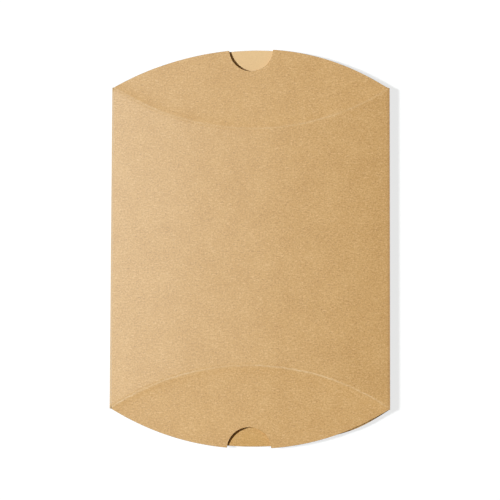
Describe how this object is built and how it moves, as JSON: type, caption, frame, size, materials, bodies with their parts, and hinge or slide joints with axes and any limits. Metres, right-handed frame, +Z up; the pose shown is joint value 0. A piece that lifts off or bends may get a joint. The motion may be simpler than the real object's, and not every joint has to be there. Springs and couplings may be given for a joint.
{
  "type": "pillow box",
  "caption": "Flat-lying pillow box of brown kraft card, with curved creases, end flaps and thumb notches; squeezing its sides pops it open.",
  "frame": {"origin": "middle of the box's footprint, on the surface that its back layer lies on", "axes": "+X across the box to its glued right edge, +Y along it to the head end, +Z up out of the front layer"},
  "size_m": [0.11, 0.1566, 0.0048],
  "materials": {
    "kraft_card": "matte, uncoated",
    "glue": "dried water-based glue"
  },
  "bodies": {
    "back_strip_1": {"back_panel_1": "kraft_card", "back_head_flap_1": "kraft_card", "back_foot_flap_1": "kraft_card", "left_fold": "kraft_card"},
    "front_strip_1": {"front_panel_1": "kraft_card", "front_head_flap_1": "kraft_card", "front_foot_flap_1": "kraft_card"},
    "back_strip_2": {"back_panel_2": "kraft_card", "back_head_flap_2": "kraft_card", "back_foot_flap_2": "kraft_card"},
    "front_strip_2": {"front_panel_2": "kraft_card", "front_head_flap_2": "kraft_card", "front_foot_flap_2": "kraft_card"},
    "back_strip_3": {"back_panel_3": "kraft_card", "back_head_flap_3": "kraft_card", "back_foot_flap_3": "kraft_card"},
    "front_strip_3": {"front_panel_3": "kraft_card", "front_head_flap_3": "kraft_card", "front_foot_flap_3": "kraft_card"},
    "back_strip_4": {"back_panel_4": "kraft_card", "back_head_flap_4": "kraft_card", "back_foot_flap_4": "kraft_card"},
    "front_strip_4": {"front_panel_4": "kraft_card", "front_head_flap_4": "kraft_card", "front_foot_flap_4": "kraft_card"},
    "back_strip_5": {"back_panel_5": "kraft_card", "back_head_flap_5": "kraft_card", "back_foot_flap_5": "kraft_card", "right_fold": "kraft_card"},
    "front_strip_5": {"front_panel_5": "kraft_card", "front_head_flap_5": "kraft_card", "front_foot_flap_5": "kraft_card", "glue_line": "glue", "glue_flap": "kraft_card"}
  },
  "joints": [
    {"name": "back_bend_left_inner", "type": "hinge", "parent": "back_strip_3", "child": "back_strip_2", "pos_m": [-0.01085, 0, 0.00042], "axis": [0, 1, 0], "range_deg": [0, 13.6]},
    {"name": "back_bend_left_outer", "type": "hinge", "parent": "back_strip_2", "child": "back_strip_1", "pos_m": [-0.03255, 0, 0.00095], "axis": [0, 1, 0], "range_deg": [0, 13.6]},
    {"name": "back_bend_right_inner", "type": "hinge", "parent": "back_strip_3", "child": "back_strip_4", "pos_m": [0.01085, 0, 0.00042], "axis": [0, -1, 0], "range_deg": [0, 13.6]},
    {"name": "back_bend_right_outer", "type": "hinge", "parent": "back_strip_4", "child": "back_strip_5", "pos_m": [0.03255, 0, 0.00095], "axis": [0, -1, 0], "range_deg": [0, 13.6]},
    {"name": "pop_open", "type": "hinge", "parent": "back_strip_1", "child": "front_strip_1", "pos_m": [-0.05421, 0, 0.00238], "axis": [0, -1, 0], "range_deg": [0, 54.4]},
    {"name": "front_bend_left_outer", "type": "hinge", "parent": "front_strip_1", "child": "front_strip_2", "pos_m": [-0.03255, 0, 0.00382], "axis": [0, 1, 0], "range_deg": [0, 13.6]},
    {"name": "front_bend_left_inner", "type": "hinge", "parent": "front_strip_2", "child": "front_strip_3", "pos_m": [-0.01085, 0, 0.00435], "axis": [0, 1, 0], "range_deg": [0, 13.6]},
    {"name": "front_bend_right_inner", "type": "hinge", "parent": "front_strip_3", "child": "front_strip_4", "pos_m": [0.01085, 0, 0.00435], "axis": [0, 1, 0], "range_deg": [0, 13.6]},
    {"name": "front_bend_right_outer", "type": "hinge", "parent": "front_strip_4", "child": "front_strip_5", "pos_m": [0.03255, 0, 0.00382], "axis": [0, 1, 0], "range_deg": [0, 13.6]}
  ],
  "couplings": [
    {"joint": "back_bend_left_inner", "follows": "pop_open", "ratio": 0.25},
    {"joint": "back_bend_left_outer", "follows": "pop_open", "ratio": 0.25},
    {"joint": "back_bend_right_inner", "follows": "pop_open", "ratio": 0.25},
    {"joint": "back_bend_right_outer", "follows": "pop_open", "ratio": 0.25},
    {"joint": "front_bend_left_outer", "follows": "pop_open", "ratio": 0.25},
    {"joint": "front_bend_left_inner", "follows": "pop_open", "ratio": 0.25},
    {"joint": "front_bend_right_inner", "follows": "pop_open", "ratio": 0.25},
    {"joint": "front_bend_right_outer", "follows": "pop_open", "ratio": 0.25}
  ]
}
